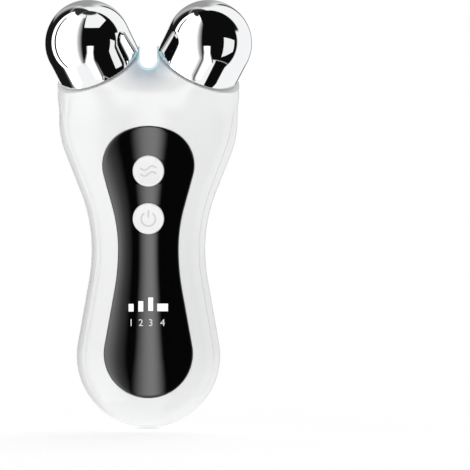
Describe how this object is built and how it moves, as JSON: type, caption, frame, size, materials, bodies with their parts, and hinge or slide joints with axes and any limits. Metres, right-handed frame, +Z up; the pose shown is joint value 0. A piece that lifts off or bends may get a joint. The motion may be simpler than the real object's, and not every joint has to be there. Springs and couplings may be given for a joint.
{
  "type": "facial toning device",
  "caption": "Handheld facial toning device: white waisted handle, glossy black panel with round buttons and level marks, mirror rollers splayed from a lit notch.",
  "frame": {"origin": "middle of the bounding box, at the lowest point of the handle's round end", "axes": "+Z up the handle towards the rollers, -Y out of the button face, +X to the right seen from the button face"},
  "size_m": [0.0676, 0.0388, 0.1399],
  "materials": {
    "white_shell": "gloss",
    "button_white": "satin gloss",
    "black_gloss": "high gloss",
    "mirror_chrome": "mirror",
    "notch_glow": "clear, lit from inside",
    "light_guide": "clear, lit from inside",
    "lamp": "clear",
    "adhesive": "tacky film",
    "black_matte": "matt",
    "board": "lacquered",
    "steel": "bright",
    "nickel": "bright",
    "ferrite": "matt",
    "battery_foil": "dull foil",
    "foam": "open foam",
    "cast_alloy": "as cast",
    "core_plastic": "matt",
    "bronze": "sintered",
    "seal_rubber": "matt",
    "spring_brass": "bright"
  },
  "bodies": {
    "housing": {"front_housing": "white_shell", "back_housing": "white_shell", "front_panel": "black_gloss", "panel_adhesive": "adhesive", "mode_switch": "black_matte", "power_switch": "black_matte", "level_light_guide": "light_guide", "level_leds": "lamp", "notch_light_guide": "notch_glow", "notch_led": "lamp", "main_board": "board", "board_screws": "steel", "pulse_transformer": "ferrite", "controller_chip": "black_matte", "battery": "battery_foil", "battery_tape": "foam", "battery_tabs": "nickel", "charging_port": "steel", "charging_port_tongue": "black_matte", "roller_yoke": "cast_alloy", "yoke_screws": "steel", "housing_screws": "steel", "screw_plugs": "white_shell", "left_shaft": "steel", "left_shaft_clip": "steel", "left_seal_ring": "seal_rubber", "left_contact_spring": "spring_brass", "right_shaft": "steel", "right_shaft_clip": "steel", "right_seal_ring": "seal_rubber", "right_contact_spring": "spring_brass"},
    "left_roller": {"left_roller_shell": "mirror_chrome", "left_roller_core": "core_plastic", "left_inner_bush": "bronze", "left_outer_bush": "bronze"},
    "right_roller": {"right_roller_shell": "mirror_chrome", "right_roller_core": "core_plastic", "right_inner_bush": "bronze", "right_outer_bush": "bronze"},
    "mode_button": {"mode_button": "button_white", "mode_switch_plunger": "black_matte"},
    "power_button": {"power_button": "button_white", "power_switch_plunger": "black_matte"}
  },
  "joints": [
    {"name": "left_roller_spin", "type": "hinge", "parent": "housing", "child": "left_roller", "pos_m": [-0.01602, -0.00114, 0.11877], "axis": [-0.4027, -0.4617, 0.7903], "continuous": true},
    {"name": "right_roller_spin", "type": "hinge", "parent": "housing", "child": "right_roller", "pos_m": [0.01602, -0.00114, 0.11877], "axis": [0.4027, -0.4617, 0.7903], "continuous": true},
    {"name": "mode_press", "type": "slide", "parent": "housing", "child": "mode_button", "axis": [0, 1, 0], "range_m": [0, 0.0004], "stiffness_N_per_m": 4000, "springref_m": -0.0002},
    {"name": "power_press", "type": "slide", "parent": "housing", "child": "power_button", "axis": [0, 1, 0], "range_m": [0, 0.0004], "stiffness_N_per_m": 4000, "springref_m": -0.0002}
  ]
}
